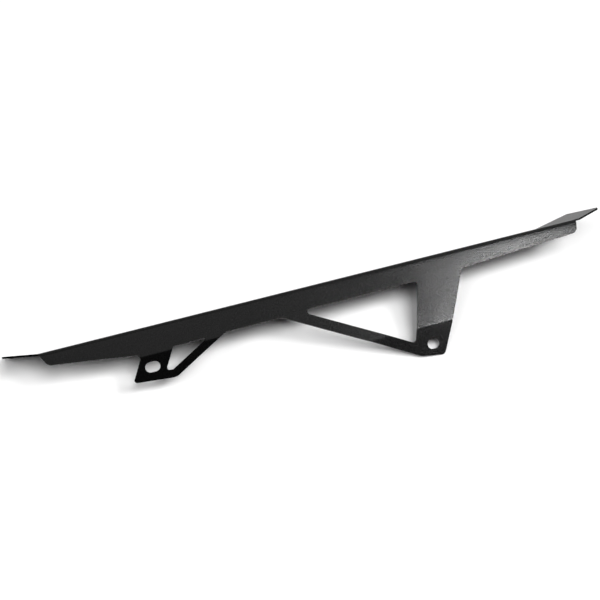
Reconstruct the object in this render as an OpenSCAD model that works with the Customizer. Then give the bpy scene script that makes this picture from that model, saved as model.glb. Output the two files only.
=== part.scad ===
// Motorcycle chain guard: one folded steel sheet, cut as a flat blank and then bent.
// A long flange covers the chain run from above, a leaning web covers it from the side,
// and two tabs folded upright below the web carry the slots for the fixing screws.
// Units are mm. +X runs along the guard from its narrow front end to its rear end,
// +Y points from the web towards the wheel, +Z is up when the guard is fitted.
// The origin is the centre of the rear slot on the tab's inner face.

/* [Sheet] */
// Thickness of the coated sheet
sheet_t = 1.6; // [1.2:0.1:2]
// Inner radius of the long fold between flange and web
bend_r = 2.4; // [1:0.2:3.2]
// Inner radius of the slight folds above the tabs
tab_r = 6; // [2:0.5:8]
// Inner radius of the gentle folds at the two raised ends
kick_r = 4; // [2:0.5:8]

/* [Flange and web] */
// Length of the web along the main fold
web_len = 479.6; // [440:1:520]
// Width of the flange over the chain
flange_w = 52; // [40:1:62]
// Lean of the web from upright, in degrees
web_lean = 11; // [6:0.5:14]
// Web depth at the rounded front end
front_depth = 11; // [8:0.2:13]
// Web depth where the front tab starts
tab_root_depth = 21.4; // [20:0.1:22.4]
// Depth of the beam between the two struts
beam_depth = 20.2; // [19:0.1:22]
// Depth of the solid band above both cut-outs
band_depth = 18.8; // [15:0.1:19]
// Web depth where the rear leg ends
leg_root_depth = 17.4; // [15:0.2:20]
// Web depth at the rear end
rear_depth = 11.6; // [9:0.1:13]

/* [Raised ends] */
// Length of the raised front end
front_kick_len = 28; // [20:0.5:36]
// Angle of the raised front end, in degrees
front_kick_ang = 9.6; // [6:0.1:15]
// Length of the raised rear end along the near edge
rear_kick_len = 27.3; // [20:0.1:34]
// Angle of the raised rear end, in degrees
rear_kick_ang = 15.2; // [8:0.1:20]
// Clear length of flange between the web's rear end and the rear fold
rear_gap = 4.8; // [1:0.1:7]
// How far the rear fold runs forward across the flange
rear_fold_slant = 21; // [14:0.5:27]
// How far ahead of the web's rear end the flange starts to narrow
rear_turn = 18; // [12:0.5:24]
// How far forward the rear tip's far corner lies
rear_tip_slant = 12; // [6:0.5:16]
// How much narrower the rear tip is than the flange
rear_tip_taper = 10; // [4:0.5:16]

/* [Front tab] */
// Position of the front tab's left edge at the web
tab1_x = 77.8; // [72:0.1:83]
// Depth of the fold above the front tab
tab1_fold = 23.2; // [22.9:0.1:24.6]
// Depth of the front tab's lower left corner
tab1_depth = 42; // [40:0.2:46]
// Slope of both tabs' left edges from upright, in degrees
tab1_edge_ang = 29.8; // [24:0.2:34]
// Slope of the front tab's bottom edge, in degrees
tab1_bottom_ang = 5.9; // [2:0.1:9]
// Position where the short strut meets the beam
strut1_x = 148.3; // [138:0.1:155]
// Slope of the short strut, in degrees
strut1_ang = 28.1; // [25:0.1:31]
// Width of the short strut and of the band under the small cut-out
strut1_w = 6.5; // [5:0.1:8]
// Width of the pad around the front slot
pad1_w = 22.3; // [19:0.1:24]

/* [Rear tab] */
// Position where the long strut meets the beam
strut2_x = 196.7; // [186:0.5:206]
// Position of the long strut's lower end, at the rear tab's lower left corner
strut2_foot_x = 304.9; // [300:0.1:309]
// Width of the long strut
strut2_w = 9; // [7:0.1:11]
// Depth of the rear tab's lower right corner
tab2_depth = 85; // [78:0.2:92]
// Height of the rear tab's upright part, up to its fold
tab2_height = 26.8; // [25:0.1:30]
// Slope of the rear tab's bottom edge, in degrees
tab2_bottom_ang = 9.4; // [5:0.1:12]
// Position of the leg's outer edge at the web
leg_x = 361.7; // [354:0.1:370]
// Position of the leg's lower end, at the rear tab's lower right corner
leg_foot_x = 325.2; // [321:0.1:330]
// Position of the leg's inner edge at the band
leg_in_x = 319.8; // [314:0.1:326]
// Slope of the leg's inner edge from upright, in degrees
leg_in_ang = 18.9; // [16:0.1:21]

/* [Slots] */
// Width of both slots
slot_w = 8.4; // [6.4:0.1:9]
// Length of the front slot from end to end
slot1_len = 12.4; // [9.6:0.1:14]
// Length of the rear slot from end to end
slot2_len = 11; // [9.6:0.1:13]
// Position of the front slot along the guard
slot1_x = 84.1; // [82:0.1:86]
// Height of the front slot above the front tab's lower left corner
slot1_rise = 9.1; // [8:0.1:9.6]
// Position of the rear slot along the guard
slot2_x = 317.5; // [315:0.1:320]
// Distance of the rear slot below its fold
slot2_drop = 16.1; // [14:0.1:17]

/* [Hidden] */
$fn = 96;
coat = [0.05, 0.05, 0.055];

bend_out = bend_r + sheet_t;
tab_out = tab_r + sheet_t;
half_lean = web_lean / 2;
// Length from the main fold's sharp outer corner to where its arc starts
main_tan = bend_out * tan((90 - web_lean) / 2);
split_x = (strut1_x + strut2_x) / 2;
over = 8;
// Overlap of pieces that run into each other
lap = 3;
// Clear length of flange between the web's front end and the front fold
fold_gap = 0.6;
// Extra radius that makes each arc cross its straight neighbours instead of only touching them
ease = 0.002;

// Row origin in the drawing frame, whose own origin is the main fold's front corner
tab2_fold = tab2_depth - tab2_height;
slot1_drop = tab1_depth - slot1_rise - tab1_fold;
rear_face_y = sheet_t - tab2_fold * sin(web_lean);
rear_slot_z = -tab2_fold * cos(web_lean) - slot2_drop;
front_face_y = sheet_t - tab1_fold * sin(web_lean);
front_slot_z = -tab1_fold * cos(web_lean) - slot1_drop;

// Direction of an edge, a degrees below level or b degrees off upright
function level(a) = [cos(a), -sin(a)];
function upright(b) = [-sin(b), -cos(b)];
function cross2(a, b) = a[0] * b[1] - a[1] * b[0];
// Point where the line through p along u meets the line through q along v
function meet(p, u, q, v) = p + u * cross2(q - p, v) / cross2(u, v);
function side(u) = [-u[1], u[0]] / norm(u);
function unit(v) = v / norm(v);

// Outline corners, x along the guard and y up from the main fold
front_low = [4.8, -front_depth];
tab1_top = [tab1_x, -tab_root_depth];
tab1_left = meet(tab1_top, upright(tab1_edge_ang), [0, -tab1_depth], [1, 0]);
strut1_top = [strut1_x, -beam_depth];
strut2_top = [strut2_x, -beam_depth];
tab1_right = meet(tab1_left, level(tab1_bottom_ang), strut1_top, level(-strut1_ang));
leg_top = [leg_x, -leg_root_depth];
tab2_right = [leg_foot_x, -tab2_depth];
tab2_left = meet([strut2_foot_x, 0], [0, 1], tab2_right, level(tab2_bottom_ang));
strut2_dir = unit(tab2_left - strut2_top);

// Each entry is a corner and its radius, negative where the corner goes inwards
outline = [
    [[0, over], 0], [[0, -1.3], 0],
    [front_low, 6], [tab1_top, -3], [tab1_left, 2], [tab1_right, 12],
    [strut1_top, -8], [strut2_top, -10], [tab2_left, 12], [tab2_right, 4],
    [leg_top, -5], [[web_len - 2.7, -rear_depth], 6],
    [[web_len, -1], 0], [[web_len, over], 0]
];

// Small cut-out, kept at set widths from the front tab's edges
s1_line = strut1_top + side(level(-strut1_ang)) * strut1_w;
p1_line = tab1_top + side(upright(tab1_edge_ang)) * pad1_w;
b1_line = tab1_left + side(level(tab1_bottom_ang)) * strut1_w;
band = [0, -band_depth - 2.1];
small_cut = [
    [meet(p1_line, upright(tab1_edge_ang), band, [1, 0]), 3],
    [meet(p1_line, upright(tab1_edge_ang), b1_line, level(tab1_bottom_ang)), 2],
    [meet(s1_line, level(-strut1_ang), b1_line, level(tab1_bottom_ang)), 2],
    [meet(s1_line, level(-strut1_ang), band, [1, 0]), 0.9]
];

// Large cut-out between the band, the long strut and the leg
s2_line = strut2_top + side(strut2_dir) * strut2_w;
leg_in = [leg_in_x, -band_depth];
large_cut = [
    [leg_in, 2],
    [meet(s2_line, strut2_dir, leg_in, [1, 0]), 2.4],
    [meet(s2_line, strut2_dir, leg_in, upright(leg_in_ang)), 3]
];

// Plan of the flange with both raised ends
plan = [
    [[-front_kick_len, main_tan], 3], [[web_len + rear_kick_len, main_tan], 2.5],
    [[web_len + rear_kick_len - rear_tip_slant, flange_w - rear_tip_taper], 1],
    [[web_len - rear_turn, flange_w], 8], [[-front_kick_len, flange_w], 5]
];

function cornered(a, b, c, r) =
    let (u = unit(a - b), v = unit(c - b), h = acos(u * v) / 2)
    r == 0 ? [b] : [b + u * abs(r) / tan(h), b + v * abs(r) / tan(h)];
function arc_centre(a, b, c, r) =
    let (u = unit(a - b), v = unit(c - b), h = acos(u * v) / 2)
    b + unit(u + v) * abs(r) / sin(h);

// Polygon with true arcs at its corners
module rounded(pts) {
    n = len(pts);
    difference() {
        union() {
            polygon([for (i = [0 : n - 1])
                each cornered(pts[(i + n - 1) % n][0], pts[i][0], pts[(i + 1) % n][0], pts[i][1])]);
            for (i = [0 : n - 1]) if (pts[i][1] > 0)
                translate(arc_centre(pts[(i + n - 1) % n][0], pts[i][0], pts[(i + 1) % n][0], pts[i][1]))
                    circle(pts[i][1] + ease);
        }
        for (i = [0 : n - 1]) if (pts[i][1] < 0)
            translate(arc_centre(pts[(i + n - 1) % n][0], pts[i][0], pts[(i + 1) % n][0], pts[i][1]))
                circle(ease - pts[i][1]);
    }
}

// Web folded down from the flange, with an upright tab below a fold at depth fold_at.
// It is the space inside the outer face less the space inside the inner face, so the
// folds have true arcs, and it reaches a little way into the flange. Both sections
// share the point mark on the web, so their webs lie in the same planes.
module web_section(fold_at) {
    down = [-sin(web_lean), -cos(web_lean)];
    corner = down * fold_at;
    mark = down * (tab1_fold - tab_out * tan(half_lean));
    mark_in = mark + [cos(web_lean), -sin(web_lean)] * sheet_t;
    reach = main_tan + lap;
    wide = reach + 3 * tab_out;
    deep = -2 * tab2_depth;
    intersection() {
        difference() {
            rounded([[[wide, 0], 0], [[0, 0], bend_out],
                if (fold_at > tab1_fold) [mark, 0],
                [corner, tab_out], [[corner[0], deep], 0], [[wide, deep], 0]]);
            rounded([[[wide + 1, -sheet_t], 0], [[sheet_t * tan((90 - web_lean) / 2), -sheet_t], bend_r],
                if (fold_at > tab1_fold) [mark_in, 0],
                [corner + [sheet_t, -sheet_t * tan(half_lean)], tab_r],
                [[corner[0] + sheet_t, deep - 1], 0], [[wide + 1, deep - 1], 0]]);
        }
        translate([reach - 200, 2 * deep]) square([200, -3 * deep]);
    }
}

module along_x(x0, x1) {
    translate([x0, 0, 0]) rotate([90, 0, 90]) linear_extrude(x1 - x0) children();
}

// Cut square to the bisector of web and tab, so every edge runs straight over the folds
module across_web() {
    rotate([90 - half_lean, 0, 0]) linear_extrude(60, center = true) children();
}

module folded_web() {
    intersection() {
        union() {
            along_x(-over, split_x + lap) web_section(tab1_fold);
            along_x(split_x, web_len + over) web_section(tab2_fold);
        }
        across_web() difference() {
            rounded(outline);
            rounded(small_cut);
            rounded(large_cut);
        }
    }
}

// Raised end beyond a fold, which starts at x = 0 and climbs towards +x.
// It too is the space under the top face less the space under the bottom face.
module kick(ang, reach, width) {
    top = [kick_r * tan(ang / 2), 0];
    low = [(kick_r + sheet_t) * tan(ang / 2), -sheet_t];
    rise = [cos(ang), sin(ang)];
    far = top + rise * reach;
    end = low + rise * (reach + 9);
    deep = -20;
    rotate([90, 0, 0]) linear_extrude(2 * width, center = true) difference() {
        rounded([[[-lap, 0], 0], [top, -kick_r], [far, 0], [[far[0], deep], 0], [[-lap, deep], 0]]);
        rounded([[[-lap - 1, -sheet_t], 0], [low, -kick_r - sheet_t], [end, 0],
            [[end[0], deep - 1], 0], [[-lap - 1, deep - 1], 0]]);
    }
}

module flange() {
    slant = atan(rear_fold_slant / (flange_w - main_tan));
    near = [web_len + rear_gap, main_tan];
    intersection() {
        union() {
            translate([0, 0, -sheet_t]) linear_extrude(sheet_t) polygon([[-fold_gap, 0],
                near + [sin(slant), -cos(slant)] * main_tan * 1.2,
                near + [-sin(slant), cos(slant)] * flange_w * 1.4, [-fold_gap, flange_w * 1.4]]);
            translate([-fold_gap, 0, 0]) mirror([1, 0, 0]) kick(front_kick_ang, 3 * front_kick_len, flange_w * 1.5);
            translate([near[0], near[1], 0]) rotate(slant)
                kick(rear_kick_ang, 3 * rear_kick_len, flange_w * 1.5);
        }
        translate([0, 0, -20]) linear_extrude(80) rounded(plan);
    }
}

// Slot along the guard, through a tab
module slot(length) {
    run = (length - slot_w) / 2;
    rotate([90, 0, 0]) linear_extrude(20, center = true) {
        square([2 * run, slot_w], center = true);
        for (x = [-run, run]) translate([x, 0]) circle(slot_w / 2);
    }
}

module chain_guard() {
    color(coat) translate([-slot2_x, -rear_face_y, -rear_slot_z]) difference() {
        union() {
            folded_web();
            flange();
        }
        translate([slot1_x, front_face_y, front_slot_z]) slot(slot1_len);
        translate([slot2_x, rear_face_y, rear_slot_z]) slot(slot2_len);
    }
}

chain_guard();
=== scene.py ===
# %% [markdown]
# # A folded chain guard, from flat blank to finished picture
# The real guard is one piece of steel sheet. A laser cuts the blank flat, a press folds
# it along a few straight lines, and an oven bakes a black powder coat on it.
# This lesson takes the same road: it draws the blank, folds it with Geometry Nodes,
# gives it its thickness and its coat, and lays it on a white table to be photographed.
# The first cell loads the measured frame, so that every piece lands in the right place.

# %% Load the frame
import math

import bmesh
import bpy
from mathutils import Matrix, Vector
from mathutils.geometry import tessellate_polygon


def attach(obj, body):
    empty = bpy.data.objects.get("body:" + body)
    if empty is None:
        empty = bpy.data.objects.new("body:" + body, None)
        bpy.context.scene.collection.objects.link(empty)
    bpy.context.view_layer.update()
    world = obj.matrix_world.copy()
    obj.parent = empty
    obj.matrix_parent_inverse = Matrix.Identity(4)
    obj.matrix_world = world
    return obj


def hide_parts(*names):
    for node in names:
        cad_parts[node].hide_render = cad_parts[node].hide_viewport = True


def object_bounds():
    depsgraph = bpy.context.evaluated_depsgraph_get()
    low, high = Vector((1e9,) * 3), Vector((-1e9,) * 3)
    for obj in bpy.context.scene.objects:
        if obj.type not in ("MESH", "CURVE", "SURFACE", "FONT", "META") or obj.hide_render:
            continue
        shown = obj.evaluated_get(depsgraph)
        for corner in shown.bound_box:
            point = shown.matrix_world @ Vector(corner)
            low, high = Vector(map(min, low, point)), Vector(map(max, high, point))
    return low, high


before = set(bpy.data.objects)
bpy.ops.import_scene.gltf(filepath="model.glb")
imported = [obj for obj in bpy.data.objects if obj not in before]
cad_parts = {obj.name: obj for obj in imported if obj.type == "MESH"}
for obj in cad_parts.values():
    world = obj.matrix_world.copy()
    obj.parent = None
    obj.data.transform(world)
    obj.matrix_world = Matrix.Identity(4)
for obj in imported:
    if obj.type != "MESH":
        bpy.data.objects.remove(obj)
cad_low, cad_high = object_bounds()
MM = 0.001


def in_mm(values):
    return [round(v / MM, 1) for v in values]


print("CAD box in mm:", in_mm(cad_low), in_mm(cad_high))

# %% [markdown]
# ## The sizes of the guard
# These are the sizes that the solid model uses, in mm and degrees. The drawing's own
# origin is the front corner of the long fold: x runs along the fold and q runs across the
# blank, down the web where it is positive and back over the flange where it is negative.
# A depth is measured from the long fold, and a place along the guard from its front end.

# %% Sizes of the sheet, flange and web
sheet_t = 1.6
bend_r = 2.4  # inner radius of the long fold between flange and web
tab_r = 6.0  # inner radius of the slight folds above the tabs
kick_r = 4.0  # inner radius of the gentle folds at the two raised ends

web_len = 479.6
web_lean = 11.0  # degrees from upright
front_depth = 11.0
front_edge_run = 4.8  # how far the web's front edge slants back
front_edge_top = 1.3
tab_root_depth = 21.4  # web depth where the front tab starts
beam_depth = 20.2  # web depth between the two struts
band_depth = 18.8  # solid band above both cut-outs
leg_root_depth = 17.4  # web depth where the rear leg ends
rear_depth = 11.6
rear_edge_run = 2.7
rear_edge_top = 1.0

flange_w = 52.0
front_kick_len = 28.0  # the raised front end
front_kick_ang = 9.6
fold_gap = 0.6  # clear flange between the web and the front fold
rear_kick_len = 27.3  # the raised rear end, along its near edge
rear_kick_ang = 15.2
rear_gap = 4.8  # clear flange between the web and the rear fold
rear_fold_slant = 21.0  # how far the rear fold runs forward across the flange
rear_turn = 18.0  # how far ahead of the web's rear end the flange starts to narrow
rear_tip_slant = 12.0  # how far forward the rear tip's far corner lies
rear_tip_taper = 10.0  # how much narrower the rear tip is than the flange
print("flange", flange_w, "mm wide, web", web_len, "mm long, sheet", sheet_t, "mm thick")

# %% Sizes of the tabs, struts and slots
tab1_x = 77.8  # the front tab's left edge at the web
tab1_fold = 23.2
tab1_depth = 42.0  # its lower left corner
tab1_edge_ang = 29.8  # slope of its left edge from upright
tab1_bottom_ang = 5.9
pad1_w = 22.3  # width of the pad around the front slot
strut1_x = 148.3  # where the short strut meets the beam
strut1_ang = 28.1
strut1_w = 6.5  # the short strut, and the band under the small cut-out
small_cut_drop = 2.1  # how far the small cut-out starts below the band

strut2_x = 196.7  # where the long strut meets the beam
strut2_foot_x = 304.9  # its foot, at the rear tab's lower left corner
strut2_w = 9.0
tab2_depth = 85.0  # the rear tab's lower right corner
tab2_height = 26.8  # its upright part, up to its fold
tab2_bottom_ang = 9.4
leg_x = 361.7  # the leg's outer edge at the web
leg_foot_x = 325.2  # its foot, at the rear tab's lower right corner
leg_in_x = 319.8  # its inner edge at the band
leg_in_ang = 18.9

slot_w = 8.4
slot1_x = 84.1
slot1_len = 12.4
slot1_rise = 9.1  # above the front tab's lower left corner
slot2_x = 317.5
slot2_len = 11.0
slot2_drop = 16.1  # below the rear tab's fold
print("slots", slot_w, "mm wide,", round(slot2_x - slot1_x, 1), "mm apart along the guard")

# %% [markdown]
# Some sizes follow from these. A fold's arc starts a little before the corner that its two
# outer faces would make, by its outer radius times the tangent of half the turn. The
# shared frame has its origin in the rear slot, so everything moves there at the end.

# %% Sizes that follow
lean = math.radians(web_lean)
main_tan = (bend_r + sheet_t) * math.tan((math.pi / 2 - lean) / 2)
tab_tan = (tab_r + sheet_t) * math.tan(lean / 2)
split_x = (strut1_x + strut2_x) / 2  # the web turns with the front tab up to here
tab2_fold = tab2_depth - tab2_height
slot1_drop = tab1_depth - slot1_rise - tab1_fold
origin = Vector((slot2_x, sheet_t - tab2_fold * math.sin(lean), -tab2_fold * math.cos(lean) - slot2_drop))
print("the long fold starts", round(main_tan, 2), "mm back; shared origin in the drawing:", origin)

# %% [markdown]
# ## Drawing the blank
# A sheet-metal drawing is a few straight lines joined by arcs. Each corner below is a
# point and a radius, and `rounded` turns the list into a closed loop of points, with a
# true arc wherever there is a radius. Most corners are found where two lines meet, as a
# draughtsperson would find them, so that the struts keep their width.

# %% Corner helpers
def at(x, q):
    return Vector((x, q))


def level(deg):
    """Direction of an edge that drops by deg from level."""
    return at(math.cos(math.radians(deg)), math.sin(math.radians(deg)))


def upright(deg):
    """Direction of an edge that leans by deg from upright, with its foot to the front."""
    return at(-math.sin(math.radians(deg)), math.cos(math.radians(deg)))


def meet(start, along, other_start, other_along):
    """Point where two lines meet, each given by a point and a direction."""
    return start + along * ((other_start - start).cross(other_along) / along.cross(other_along))


def inner_side(along):
    """Direction square to a lower edge, into the metal."""
    return Vector((along.y, -along.x)).normalized()


print("a 30 degree edge meets level at", meet(at(0, 0), level(30), at(0, 10), level(0)))

# %% Rounded loops
arc_step = 6.0  # degrees


def rounded(corners):
    """Closed loop of points through corners, which are pairs of a point and a radius."""
    loop = []
    for i, (corner, radius) in enumerate(corners):
        if radius == 0:
            loop.append(corner)
            continue
        before = (corners[i - 1][0] - corner).normalized()
        after = (corners[(i + 1) % len(corners)][0] - corner).normalized()
        half = before.angle(after) / 2
        centre = corner + (before + after).normalized() * (radius / math.sin(half))
        start = corner + before * (radius / math.tan(half)) - centre
        end = corner + after * (radius / math.tan(half)) - centre
        turn = start.angle_signed(end)
        count = max(2, math.ceil(math.degrees(abs(turn)) / arc_step))
        loop += [centre + Matrix.Rotation(-turn * k / count, 2) @ start for k in range(count + 1)]
    return loop


rounded_square = rounded([(at(0, 0), 3), (at(10, 0), 3), (at(10, 10), 3), (at(0, 10), 3)])
print("a square with rounded corners has", len(rounded_square), "points")

# %% [markdown]
# The outline of the web and its tabs was drawn square to the half-way direction between
# the web and a tab. Measured along the sheet it is a touch longer, so each depth is
# divided by the cosine of half the lean. The flange's outline is its plan view.

# %% Blank outline
tab1_top = at(tab1_x, tab_root_depth)
strut1_top = at(strut1_x, beam_depth)
strut2_top = at(strut2_x, beam_depth)
leg_top = at(leg_x, leg_root_depth)
tab1_left = meet(tab1_top, upright(tab1_edge_ang), at(0, tab1_depth), at(1, 0))
tab1_right = meet(tab1_left, level(tab1_bottom_ang), strut1_top, level(-strut1_ang))
tab2_right = at(leg_foot_x, tab2_depth)
tab2_left = meet(at(strut2_foot_x, 0), at(0, 1), tab2_right, level(tab2_bottom_ang))

# Each corner is a point and its radius, where 0 leaves it sharp
web_edge = [
    (at(0, -main_tan), 0), (at(0, front_edge_top), 0), (at(front_edge_run, front_depth), 6),
    (tab1_top, 3), (tab1_left, 2), (tab1_right, 12), (strut1_top, 8),
    (strut2_top, 10), (tab2_left, 12), (tab2_right, 4), (leg_top, 5),
    (at(web_len - rear_edge_run, rear_depth), 6), (at(web_len, rear_edge_top), 0),
    (at(web_len, -main_tan), 0),
]
flange_edge = [
    (at(web_len + rear_kick_len, -main_tan), 2.5),
    (at(web_len + rear_kick_len - rear_tip_slant, -flange_w + rear_tip_taper), 1),
    (at(web_len - rear_turn, -flange_w), 8), (at(-front_kick_len, -flange_w), 5),
    (at(-front_kick_len, -main_tan), 3),
]
outline = rounded(web_edge + flange_edge)
print("the outline has", len(web_edge + flange_edge), "corners and", len(outline), "points")

# %% [markdown]
# Both cut-outs keep set widths of metal around them. Their edges are the outline's edges
# moved inwards, and their corners are found where these lines meet.

# %% Cut-outs
strut2_dir = (tab2_left - strut2_top).normalized()
strut1_line = strut1_top + inner_side(level(-strut1_ang)) * strut1_w
strut2_line = strut2_top + inner_side(strut2_dir) * strut2_w
pad1_line = tab1_top + inner_side(upright(tab1_edge_ang)) * pad1_w
bottom1_line = tab1_left + inner_side(level(tab1_bottom_ang)) * strut1_w
small_cut_top = at(0, band_depth + small_cut_drop)
leg_in = at(leg_in_x, band_depth)

small_cut = rounded([
    (meet(pad1_line, upright(tab1_edge_ang), small_cut_top, at(1, 0)), 3),
    (meet(pad1_line, upright(tab1_edge_ang), bottom1_line, level(tab1_bottom_ang)), 2),
    (meet(strut1_line, level(-strut1_ang), bottom1_line, level(tab1_bottom_ang)), 2),
    (meet(strut1_line, level(-strut1_ang), small_cut_top, at(1, 0)), 0.9),
])
large_cut = rounded([
    (leg_in, 2),
    (meet(strut2_line, strut2_dir, leg_in, at(1, 0)), 2.4),
    (meet(strut2_line, strut2_dir, leg_in, upright(leg_in_ang)), 3),
])
print("points in the cut-outs:", len(small_cut), "and", len(large_cut))

# %% Slots and stretch
stretch = 1 / math.cos(lean / 2)
slot_step = 10  # degrees


def slot_loop(x, fold, drop, length):
    """Loop of a slot at x along the guard, by drop below the fold at depth fold."""
    run = (length - slot_w) / 2
    radius = slot_w / 2
    loop = []
    for shift, first in ((run, -90), (-run, 90)):
        for turn in range(0, 181, slot_step):
            angle = math.radians(first + turn)
            loop.append(at(x + shift + radius * math.cos(angle), fold + drop + radius * math.sin(angle)))
    return loop


def along_sheet(loop):
    return [at(p.x, p.y * stretch if p.y > 0 else p.y) for p in loop]


loops = [
    along_sheet(outline), along_sheet(small_cut), along_sheet(large_cut),
    slot_loop(slot1_x, tab1_fold, slot1_drop, slot1_len),
    slot_loop(slot2_x, tab2_fold, slot2_drop, slot2_len),
]
print("points in the blank's loops:", [len(loop) for loop in loops])

# %% [markdown]
# ## Cutting the blank
# The loops are filled with triangles to make the flat sheet. A sheet can only fold where
# it has edges to fold along, so the mesh is then cut by rows of straight lines wherever a
# fold will be: many across the long fold, fewer across the gentle ones.

# %% Cut the blank along its fold lines
long_fold_cuts = 16
tab_fold_cuts = 6
kick_cuts = 5
plain_cut_gap = 20  # mm between the cuts that keep the long triangles short
cut_reach = 1e-4  # mm within which a cut snaps to a point
join_reach = 1e-3  # mm within which points are joined
slant = math.atan(rear_fold_slant / (flange_w - main_tan))  # of the rear fold
rear_near = at(web_len + rear_gap, -main_tan)  # where it starts, at the flange's near edge


def kick_run(deg):
    """Length of flange that a raised end's arc takes up."""
    return (kick_r + sheet_t / 2) * math.sin(math.radians(deg))


def fold_cuts():
    """Point and normal of each line that cuts the blank."""
    cuts = []
    for depth, half, count in (
            (0, main_tan, long_fold_cuts),
            (tab1_fold, tab_tan, tab_fold_cuts),
            (tab2_fold, tab_tan, tab_fold_cuts)):
        cuts += [(at(0, depth - half + 2 * half * k / count), at(0, 1)) for k in range(count + 1)]
    front_run = kick_run(front_kick_ang)
    rear_run = kick_run(rear_kick_ang)
    across = at(math.cos(slant), -math.sin(slant))
    cuts += [(at(-fold_gap - front_run * k / kick_cuts, 0), at(1, 0)) for k in range(kick_cuts + 1)]
    cuts += [(rear_near + across * (rear_run * k / kick_cuts), across) for k in range(kick_cuts + 1)]
    cuts += [(at(x, 0), at(1, 0)) for x in range(plain_cut_gap, int(web_len), plain_cut_gap)]
    return cuts


def make_blank():
    flat = [[p.to_3d() for p in loop] for loop in loops]
    bm = bmesh.new()
    verts = [bm.verts.new(p) for loop in flat for p in loop]
    for corners in tessellate_polygon(flat):
        bm.faces.new([verts[i] for i in corners])
    for point, normal in fold_cuts():
        bmesh.ops.bisect_plane(bm, geom=bm.verts[:] + bm.edges[:] + bm.faces[:], dist=cut_reach,
                               plane_co=point.to_3d(), plane_no=normal.to_3d())
    bmesh.ops.remove_doubles(bm, verts=bm.verts, dist=join_reach)
    bmesh.ops.recalc_face_normals(bm, faces=bm.faces)
    mesh = bpy.data.meshes.new("guard_blank")
    bm.to_mesh(mesh)
    bm.free()
    return mesh


guard = bpy.data.objects.new("guard_sheet", make_blank())
bpy.context.collection.objects.link(guard)
print("flat blank:", len(guard.data.vertices), "points,", len(guard.data.polygons), "faces")

# %% [markdown]
# ## A little algebra for nodes
# Folding is a rule: how far a point lies past a fold line decides how far it turns. A
# Geometry Nodes tree can hold that rule as Math nodes, but a long formula is hard to
# read as nodes. `Num` wraps a socket so that plain sums in Python add the Math nodes.

# %% Math nodes from plain sums
class Num:
    tree = None  # the node tree that is being built

    def __init__(self, value):
        self.value = value

    def node(self, operation, *others):
        math_node = Num.tree.nodes.new("ShaderNodeMath")
        math_node.operation = operation
        for socket, item in zip(math_node.inputs, (self, *others)):
            item = item.value if isinstance(item, Num) else item
            if isinstance(item, (int, float)):
                socket.default_value = item
            else:
                Num.tree.links.new(item, socket)
        return Num(math_node.outputs[0])

    def __add__(self, other):
        return self.node("ADD", other)

    def __sub__(self, other):
        return self.node("SUBTRACT", other)

    def __mul__(self, other):
        return self.node("MULTIPLY", other)

    def __truediv__(self, other):
        return self.node("DIVIDE", other)

    def at_least(self, other):
        return self.node("MAXIMUM", other)

    def at_most(self, other):
        return self.node("MINIMUM", other)

    def less_than(self, other):
        return self.node("LESS_THAN", other)

    def sin(self):
        return self.node("SINE")

    def cos(self):
        return self.node("COSINE")

    def tan(self):
        return self.node("TANGENT")

    def sqrt(self):
        return self.node("SQRT")


# %% [markdown]
# ## Folding the blank with Geometry Nodes
# The tree works on the sheet's middle surface. Each fold is an arc of a set radius:
# before it the sheet runs straight, on it the direction turns evenly, and past it the
# sheet runs straight again. First the long fold turns flange into web, then the small
# fold turns the web into an upright tab, and last the two ends of the flange are raised.
# Its inputs are the angles and radii that a press operator would set.

# %% Start the folding tree
fold_inputs = {
    "Web lean": lean,
    "Front raise": math.radians(front_kick_ang),
    "Rear raise": math.radians(rear_kick_ang),
    "Sheet": sheet_t,
    "Long fold radius": bend_r,
    "Tab fold radius": tab_r,
    "Raise radius": kick_r,
    "Front tab fold": tab1_fold,
    "Rear tab fold": tab2_fold,
}
fold_tree = bpy.data.node_groups.new("press_fold", "GeometryNodeTree")
fold_tree.interface.new_socket("Geometry", in_out="INPUT", socket_type="NodeSocketGeometry")
fold_tree.interface.new_socket("Geometry", in_out="OUTPUT", socket_type="NodeSocketGeometry")
for name, value in fold_inputs.items():
    socket = fold_tree.interface.new_socket(name, in_out="INPUT", socket_type="NodeSocketFloat")
    socket.default_value = value
fold_tree.interface.new_socket("Coat", in_out="INPUT", socket_type="NodeSocketMaterial")
group_in = fold_tree.nodes.new("NodeGroupInput")
given = {name: Num(group_in.outputs[name]) for name in fold_inputs}
Num.tree = fold_tree
print("inputs of the folding tree:", list(given))

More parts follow.
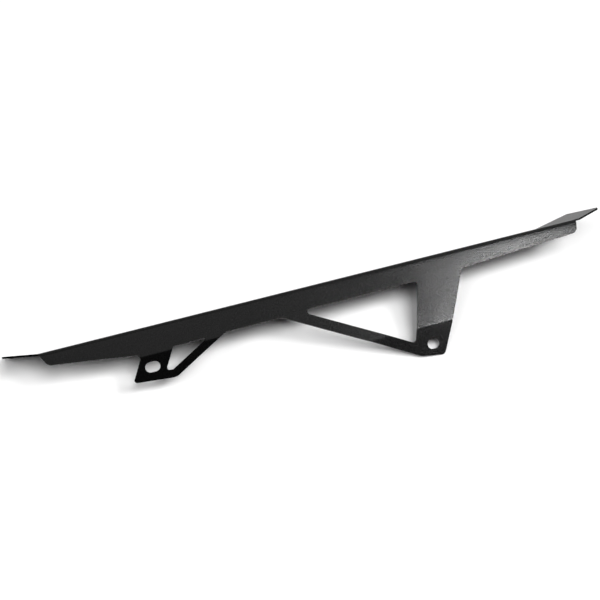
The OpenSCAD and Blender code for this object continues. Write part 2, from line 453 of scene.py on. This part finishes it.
# %% Fold rule
def fold_rule(x, q):
    """Places y and z, in the drawing, of the point at x along the blank and q across it."""
    sheet = given["Sheet"]
    tilt = given["Web lean"]
    # The long fold turns the flange into the web, by a right angle less the lean
    outer = given["Long fold radius"] + sheet
    mid = given["Long fold radius"] + sheet * 0.5
    full_turn = tilt * -1 + math.pi / 2
    start = outer * (full_turn * 0.5).tan()
    turn = ((q + start) / (start * 2)).at_least(0).at_most(1) * full_turn
    y = start - mid * turn.sin() + (q * -1 - start).at_least(0)
    z = mid * turn.cos() - outer
    # The tab fold, at another depth on each side of the beam, turns the web upright
    rear = x.less_than(split_x) * -1 + 1
    fold = given["Front tab fold"] + (given["Rear tab fold"] - given["Front tab fold"]) * rear
    tab_outer = given["Tab fold radius"] + sheet
    tab_mid = given["Tab fold radius"] + sheet * 0.5
    reach = tab_outer * (tilt * 0.5).tan()
    straight = (q - start).at_least(0).at_most(fold - reach - start)
    back = ((q - fold + reach) / (reach * 2)).at_least(0).at_most(1) * tilt
    y = y - straight * tilt.sin() - tab_mid * ((tilt - back).cos() - tilt.cos())
    z = z - straight * tilt.cos() - tab_mid * (tilt.sin() - (tilt - back).sin())
    z = z - (q - fold - reach).at_least(0)
    # The raised ends lift the flange by how far it lies past their fold lines
    kick_mid = given["Raise radius"] + sheet * 0.5
    past_front = (x * -1 - fold_gap).at_least(0)
    past_rear = ((x - rear_near.x) * math.cos(slant) - (q - rear_near.y) * math.sin(slant)).at_least(0)
    for past, raise_by in ((past_front, given["Front raise"]), (past_rear, given["Rear raise"])):
        arc = kick_mid * raise_by.sin()
        on_arc = past.at_most(arc)
        z = z + kick_mid - (kick_mid * kick_mid - on_arc * on_arc).sqrt()
        z = z + (past - arc).at_least(0) * raise_by.tan()
    return y, z


place = fold_tree.nodes.new("GeometryNodeInputPosition")
flat_place = fold_tree.nodes.new("ShaderNodeSeparateXYZ")
fold_tree.links.new(place.outputs[0], flat_place.inputs[0])
flat_x = Num(flat_place.outputs[0])
folded_y, folded_z = fold_rule(flat_x, Num(flat_place.outputs[1]))
print("folding tree:", len(fold_tree.nodes), "nodes")

# %% [markdown]
# The last nodes move the folded sheet from the drawing's origin to the shared one and
# from mm to metres, and give it its coat.

# %% Finish the folding tree
def finish_tree():
    shift = fold_tree.nodes.new("ShaderNodeCombineXYZ")
    for axis, value in enumerate((flat_x, folded_y, folded_z)):
        fold_tree.links.new(((value - origin[axis]) * MM).value, shift.inputs[axis])
    move = fold_tree.nodes.new("GeometryNodeSetPosition")
    realize = fold_tree.nodes.new("GeometryNodeRealizeInstances")
    paint = fold_tree.nodes.new("GeometryNodeSetMaterial")
    group_out = fold_tree.nodes.new("NodeGroupOutput")
    fold_tree.links.new(group_in.outputs["Geometry"], move.inputs["Geometry"])
    fold_tree.links.new(shift.outputs[0], move.inputs["Position"])
    fold_tree.links.new(move.outputs[0], realize.inputs[0])
    fold_tree.links.new(realize.outputs[0], paint.inputs[0])
    fold_tree.links.new(group_in.outputs["Coat"], paint.inputs["Material"])
    fold_tree.links.new(paint.outputs[0], group_out.inputs[0])


finish_tree()
print("folding tree:", len(fold_tree.nodes), "nodes in all")

# %% [markdown]
# ## Short ways to add nodes
# The coat, the table and the room are node trees too. These helpers add a node, set its
# inputs and link them in one call, so that each tree can be read from top to bottom.

# %% Node helpers
def add_node(tree, kind, values, sources):
    """New node; values sets its inputs and sources links them, by an input's name or number."""
    node = tree.nodes.new(kind)
    for name, value in values.items():
        node.inputs[name].default_value = value
    for name, source in sources.items():
        tree.links.new(source, node.inputs[name])
    return node


def noise(tree, scale, detail):
    """Noise on Object coordinates; scale counts its cells in a metre."""
    values = {"Scale": scale, "Detail": detail}
    sources = {"Vector": tree.nodes.new("ShaderNodeTexCoord").outputs["Object"]}
    return add_node(tree, "ShaderNodeTexNoise", values, sources).outputs["Fac"]


def bump(tree, strength, distance, sources):
    """Normal that follows the Height in sources; distance is in metres."""
    values = {"Strength": strength, "Distance": distance}
    return add_node(tree, "ShaderNodeBump", values, sources).outputs["Normal"]


def ramp(tree, source, low, high, first, last):
    """Source, stretched so that low gives first and high gives last."""
    values = {"From Min": low, "From Max": high, "To Min": first, "To Max": last}
    return add_node(tree, "ShaderNodeMapRange", values, {"Value": source}).outputs["Result"]


def combine(tree, operation, first, second):
    """Result of a Math node on two sources."""
    node = add_node(tree, "ShaderNodeMath", {}, {0: first, 1: second})
    node.operation = operation
    return node.outputs[0]


def mix_shaders(tree, share, first, second):
    """Shader that goes from first to second with share."""
    sources = {0: share, 1: first.outputs[0], 2: second.outputs[0]}
    return add_node(tree, "ShaderNodeMixShader", {}, sources).outputs[0]


def two_tone(tree, share, first, second):
    """Colour that goes from first to second with share."""
    node = tree.nodes.new("ShaderNodeMix")
    node.data_type = "RGBA"
    node.inputs["A"].default_value = (*first, 1)
    node.inputs["B"].default_value = (*second, 1)
    tree.links.new(share, node.inputs["Factor"])
    return node.outputs["Result"]


# %% [markdown]
# ## The black powder coat
# Powder coat is thermoset paint, sprayed as dust and melted in an oven. It is a deep
# black with a soft, broad gloss, and it never levels quite flat: a fine orange-peel
# texture of about a millimetre breaks up each reflection, and a finer grain lies on it.
# The coat is a Principled shader. Two noises on Object coordinates make the texture as
# bump, the coarser of them also makes the tops of the peel a little glossier and lighter,
# and a slow third one varies the roughness, as uneven baking does.

# %% Powder-coat material
peel_dark = (0.004, 0.004, 0.004)
peel_light = (0.009, 0.009, 0.0092)
coat_ior = 1.45


def powder_coat():
    mat = bpy.data.materials.new("black_powder_coat")
    mat.use_nodes = True
    tree = mat.node_tree
    peel = noise(tree, scale=1050, detail=2)
    grain = noise(tree, scale=3200, detail=1)
    cloud = noise(tree, scale=45, detail=3)
    peel_share = ramp(tree, peel, low=0.3, high=0.7, first=0, last=1)
    peel_bump = bump(tree, strength=0.4, distance=0.00005, sources={"Height": peel})
    grain_bump = bump(tree, strength=0.25, distance=0.00003, sources={"Height": grain, "Normal": peel_bump})
    looks = {
        "Base Color": two_tone(tree, peel_share, peel_dark, peel_light),
        "Roughness": ramp(tree, cloud, low=0.35, high=0.65, first=0.19, last=0.21),
        "Specular IOR Level": ramp(tree, peel, low=0.3, high=0.7, first=0.26, last=0.34),
        "Normal": grain_bump,
    }
    shader = tree.nodes["Principled BSDF"]
    shader.inputs["IOR"].default_value = coat_ior
    for name, source in looks.items():
        tree.links.new(source, shader.inputs[name])
    return mat


coat = powder_coat()
print("powder coat:", len(coat.node_tree.nodes), "nodes")

# %% [markdown]
# ## Pressing the blank
# The tree runs as a modifier on the blank, as a press would on the real sheet. Its result
# is kept as a plain mesh, so that the next steps can clean it, and the modifier goes.

# %% Press the blank
def press(blank, coat):
    """Fold the blank with the tree and keep the result as a plain mesh."""
    fold = blank.modifiers.new("press", "NODES")
    fold.node_group = fold_tree
    for item in fold_tree.interface.items_tree:
        if item.in_out == "INPUT" and item.name in fold_inputs:
            fold[item.identifier] = fold_inputs[item.name]
        elif item.in_out == "INPUT" and item.name == "Coat":
            fold[item.identifier] = coat
    folded = bpy.data.meshes.new_from_object(blank.evaluated_get(bpy.context.evaluated_depsgraph_get()))
    folded.name = "guard_sheet"
    blank.modifiers.remove(fold)
    blank.data = folded


press(guard, coat)
print("folded sheet:", in_mm(guard.dimensions), "mm")

# %% [markdown]
# ## Thickness and soft edges
# The folded sheet has no thickness yet. Solidify adds it evenly on both sides of the
# middle surface. Points that lie on each other are joined before that, and faces of no
# size are dropped, so that the bevel meets clean edges. Paint pulls back from a sharp cut
# and leaves it slightly rounded, so a small bevel runs round every cut edge, and smooth
# shading carries the folds.

# %% Clean the folded sheet
def clean_sheet(mesh):
    """Join double points, drop faces of no size, and turn the faces all one way."""
    bm = bmesh.new()
    bm.from_mesh(mesh)
    bmesh.ops.remove_doubles(bm, verts=bm.verts, dist=join_reach * MM)
    bmesh.ops.dissolve_degenerate(bm, dist=join_reach * MM, edges=bm.edges)
    bmesh.ops.recalc_face_normals(bm, faces=bm.faces)
    if sum(face.normal.y * face.calc_area() for face in bm.faces) > 0:
        bmesh.ops.reverse_faces(bm, faces=bm.faces)
    for face in bm.faces:
        face.smooth = True
    bm.to_mesh(mesh)
    bm.free()


clean_sheet(guard.data)
print("clean sheet:", len(guard.data.polygons), "faces")

# %% Give the sheet its thickness
paint_edge_w = 0.7
fold_limit = 50  # degrees; only an edge that turns more gets the painted edge

thickness = guard.modifiers.new("thickness", "SOLIDIFY")
thickness.thickness = sheet_t * MM
thickness.offset = 0
thickness.use_even_offset = True
soft_edges = guard.modifiers.new("soft_edges", "BEVEL")
soft_edges.width = paint_edge_w * MM
soft_edges.segments = 3
soft_edges.limit_method = "ANGLE"
soft_edges.angle_limit = math.radians(fold_limit)
soft_edges.harden_normals = True
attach(guard, "root")
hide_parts("chain_guard")
print("modifiers on the sheet:", [item.name for item in guard.modifiers])

# %% [markdown]
# ## The table
# In the picture the guard lies on a white table. It rests on the far edge of its flange
# and on the foot of its rear tab, so in the guard's own frame the table is a sheet that
# leans against these two. The table is white card to the camera and pale grey in the
# light that it sends back to the coat, with the fine tooth of card as bump. It takes the
# guard's shadow, which runs together with the rear tab at its foot.
# Its back lets the camera through, so that the guard can be seen from behind as well.

# %% Table card
card_seen = (1, 1, 1)
card_unseen = (0.68, 0.68, 0.68)


def table_card():
    mat = bpy.data.materials.new("white_table")
    mat.use_nodes = True
    tree = mat.node_tree
    tree.nodes.remove(tree.nodes["Principled BSDF"])
    seen = tree.nodes.new("ShaderNodeLightPath").outputs["Is Camera Ray"]
    behind = tree.nodes.new("ShaderNodeNewGeometry").outputs["Backfacing"]
    tone = two_tone(tree, seen, card_unseen, card_seen)
    grain = noise(tree, scale=600, detail=4)
    tooth = bump(tree, strength=0.25, distance=0.0001, sources={"Height": grain})
    front = add_node(tree, "ShaderNodeBsdfDiffuse", {}, {"Color": tone, "Normal": tooth})
    clear = tree.nodes.new("ShaderNodeBsdfTransparent")
    mix = mix_shaders(tree, combine(tree, "MULTIPLY", behind, seen), front, clear)
    tree.links.new(mix, tree.nodes["Material Output"].inputs["Surface"])
    return mat


card = table_card()
print("table card:", len(card.node_tree.nodes), "nodes")

# %% White table
table_half = 1.6  # m
table_gap = 0.0004  # keeps the table just clear of the flange and the tab
foot_gap = 0.0003  # puts its lower touching line just under the tab's foot


def white_table():
    edge = Vector((0, cad_high.y + table_gap, -origin.z * MM))
    foot = Vector((0, table_gap, cad_low.z - foot_gap))
    up = (edge - foot).normalized() * table_half
    across = Vector((table_half, 0, 0))
    mesh = bpy.data.meshes.new("table")
    corners = [edge - up - across, edge - up + across, edge + up + across, edge + up - across]
    mesh.from_pydata(corners, [], [(0, 1, 2, 3)])
    mesh.materials.append(card)
    table = bpy.data.objects.new("table", mesh)
    bpy.context.collection.objects.link(table)
    return table


table = white_table()
print("table faces", [round(v, 3) for v in table.data.polygons[0].normal])

# %% [markdown]
# ## The camera
# The camera stands opposite the guard's front end and turns a little towards its rear. It
# is level with the flange, so the flange shows only its near edge, and it is rolled, which
# makes the guard climb to the right. The matrix has the camera's right, up and back
# directions, in the shared frame, as its columns.

# %% Camera
eye_in_drawing = Vector((7.8, -873.4, -1.0))  # mm
camera_yaw = 13.43  # degrees
camera_pitch = -0.55
camera_roll = 14.1
picture_px = 600
lens_px = 1075  # focal length in the picture's pixels
sensor_w = 36  # mm


def place_camera():
    yaw = math.radians(camera_yaw)
    pitch = math.radians(camera_pitch)
    roll = math.radians(camera_roll)
    ahead = Vector((math.sin(yaw) * math.cos(pitch), math.cos(yaw) * math.cos(pitch), math.sin(pitch)))
    side = ahead.cross(Vector((0, 0, 1))).normalized()
    over = side.cross(ahead)
    right = side * math.cos(roll) - over * math.sin(roll)
    up = side * math.sin(roll) + over * math.cos(roll)
    cam = bpy.data.objects.new("camera", bpy.data.cameras.new("camera"))
    bpy.context.collection.objects.link(cam)
    turned = Matrix((right, up, -ahead)).transposed().to_4x4()
    cam.matrix_world = Matrix.Translation((eye_in_drawing - origin) * MM) @ turned
    cam.data.lens = sensor_w * lens_px / picture_px
    cam.data.clip_start = 0.05
    bpy.context.scene.camera = cam
    return cam


cam = place_camera()
print("camera at", [round(v, 3) for v in cam.location], "with a lens of", round(cam.data.lens, 1), "mm")

# %% [markdown]
# ## The lights
# Two lamps light the guard. The key is a tall, narrow strip, low and to the right, with a
# grid that keeps its beam on the rear half. The leaning web mirrors it there as a bright
# patch that fades to black towards the front, while the upright tabs mirror the dark
# below it. A broad, weak fill lifts the rest. Three more lamps light only the table: a
# broad one in front, a smaller one to the right and a weak one to the left. Together
# they throw the short, soft shadows.

# %% Lamp helper
def lamp(name, receiver, aim, azimuth, elevation, distance, size, power):
    """Round area lamp that lights only receiver; seen from aim, it lies at two angles."""
    around = math.radians(azimuth)
    rise = math.radians(elevation)
    level_reach = math.cos(rise)
    way = Vector((math.sin(around) * level_reach, -math.cos(around) * level_reach, math.sin(rise)))
    data = bpy.data.lights.new(name, "AREA")
    data.shape = "DISK"
    data.size = size
    data.energy = power
    obj = bpy.data.objects.new(name, data)
    obj.location = aim + way * distance
    obj.rotation_euler = (aim - obj.location).to_track_quat("-Z", "Y").to_euler()
    bpy.context.collection.objects.link(obj)
    lit = bpy.data.collections.new(name + "_lights")
    lit.objects.link(receiver)
    obj.light_linking.receiver_collection = lit
    return obj


# %% Lamps on the guard
middle = Vector((-0.07, 0.0, 0.04))  # m
bright_spot_in_drawing = Vector((413, 0, -6))  # mm
bright_spot = (bright_spot_in_drawing - origin) * MM
strip_w = 0.1  # m
strip_len = 0.62
strip_beam = 12  # degrees
key = lamp("key", guard, bright_spot, azimuth=25.7, elevation=10.8, distance=2.5, size=strip_w, power=0.62)
key.data.shape = "RECTANGLE"
key.data.size_y = strip_len
key.data.spread = math.radians(strip_beam)
fill = lamp("fill", guard, middle, azimuth=3, elevation=27, distance=1.5, size=0.9, power=1.7)
print("lamps on the guard in W:", {item.name: round(item.data.energy, 2) for item in (key, fill)})

# %% Lamps on the table
table_lamps = [
    lamp("table_light", table, middle, azimuth=5, elevation=12, distance=9.0, size=4.7, power=545),
    lamp("table_side_light", table, middle, azimuth=32, elevation=15, distance=9.0, size=2.7, power=300),
    lamp("table_left_light", table, middle, azimuth=-38, elevation=16, distance=9.0, size=4.7, power=255),
]
print("lamps on the table in W:", {item.name: item.data.energy for item in table_lamps})

# %% [markdown]
# ## The room around the table
# The room gives a weak, even light. The coat mirrors a ceiling that brightens overhead,
# which draws a thin grey line along the top fold, and the camera sees plain white
# wherever the table ends.

# %% Studio world
wall_glow = 0.08
ceiling_glow = 0.6
room_light = 0.5 * wall_glow


def studio_world():
    world = bpy.data.worlds.new("studio")
    bpy.context.scene.world = world
    world.use_nodes = True
    tree = world.node_tree
    rays = tree.nodes.new("ShaderNodeLightPath").outputs
    place = tree.nodes.new("ShaderNodeTexCoord").outputs["Generated"]
    height = add_node(tree, "ShaderNodeSeparateXYZ", {}, {0: place}).outputs["Z"]
    mirrored = ramp(tree, height, low=0.3, high=0.9, first=wall_glow, last=ceiling_glow)
    strength = combine(tree, "MAXIMUM", mirrored, rays["Is Camera Ray"])
    shown = add_node(tree, "ShaderNodeBackground", {"Color": (1, 1, 1, 1)}, {"Strength": strength})
    even = tree.nodes["Background"]
    even.inputs["Color"].default_value = (room_light, room_light, room_light, 1)
    share = combine(tree, "MAXIMUM", rays["Is Camera Ray"], rays["Is Glossy Ray"])
    mix = mix_shaders(tree, share, even, shown)
    tree.links.new(mix, tree.nodes["World Output"].inputs["Surface"])
    return world


world = studio_world()
bpy.context.scene.view_settings.view_transform = "Standard"
print("room:", world.name, "with", len(world.node_tree.nodes), "nodes")
